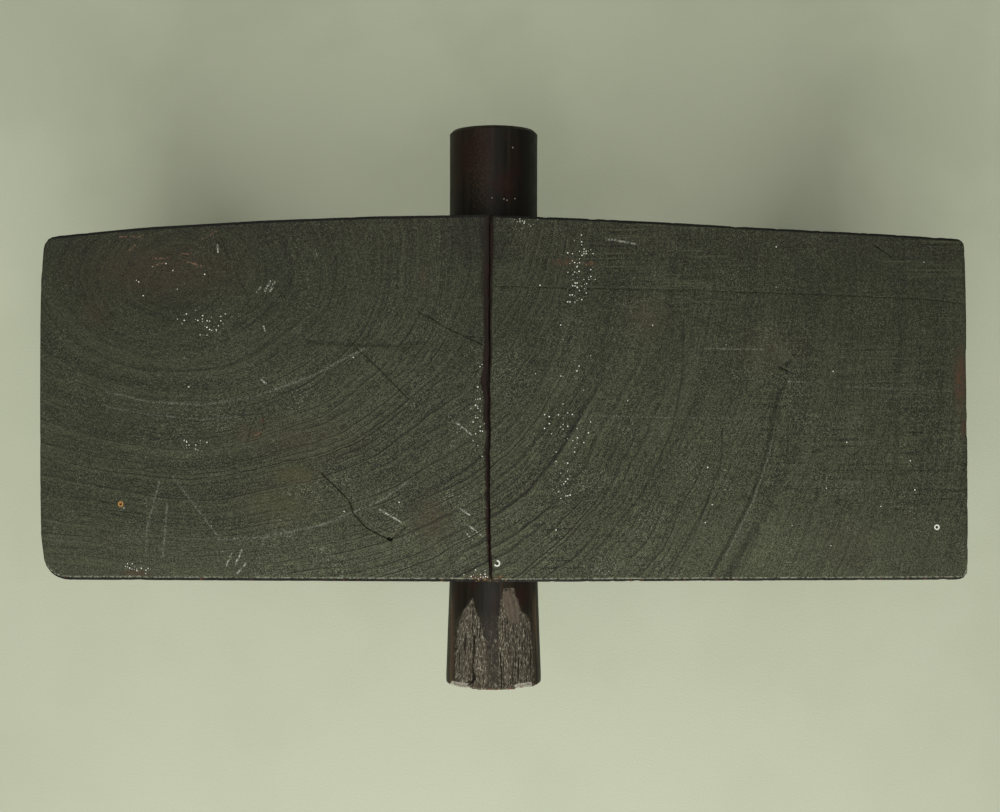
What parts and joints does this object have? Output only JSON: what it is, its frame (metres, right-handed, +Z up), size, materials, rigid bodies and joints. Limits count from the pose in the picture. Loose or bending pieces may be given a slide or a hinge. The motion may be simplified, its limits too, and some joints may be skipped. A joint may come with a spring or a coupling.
{
  "type": "ox yoke",
  "caption": "Arched wooden neck yoke of two ebonised cheeks, joined at the crown by a pinned loose tenon, with a round hitch peg driven through the seam.",
  "frame": {"origin": "on the ground under the middle of the yoke, half way along the crown peg", "axes": "+X across the neck to the right, +Y from the front of the yoke to its rear along the crown peg, +Z up through the crown"},
  "size_m": [0.4612, 0.257, 0.35],
  "materials": {
    "cheek_wood": "ebonised end grain and long grain, sawn, scraped and worn",
    "tenon_wood": "planed, unstained",
    "peg_wood": "dark, handled and satin, with beaten ends",
    "pin_wood": "cleft and stained",
    "wedge_wood": "split, lightly stained"
  },
  "bodies": {
    "yoke": {"left_cheek": "cheek_wood", "right_cheek": "cheek_wood", "crown_tenon": "tenon_wood", "left_upper_pin": "pin_wood", "left_lower_pin": "pin_wood", "right_upper_pin": "pin_wood", "right_lower_pin": "pin_wood", "left_upper_wedge": "wedge_wood", "left_lower_wedge": "wedge_wood", "right_upper_wedge": "wedge_wood", "right_lower_wedge": "wedge_wood", "left_trace_peg": "peg_wood", "right_trace_peg": "peg_wood"},
    "peg": {"crown_peg": "peg_wood"}
  },
  "joints": [
    {"name": "crown_peg_slide", "type": "slide", "parent": "yoke", "child": "peg", "axis": [0, -1, 0], "range_m": [0, 0.2]}
  ]
}
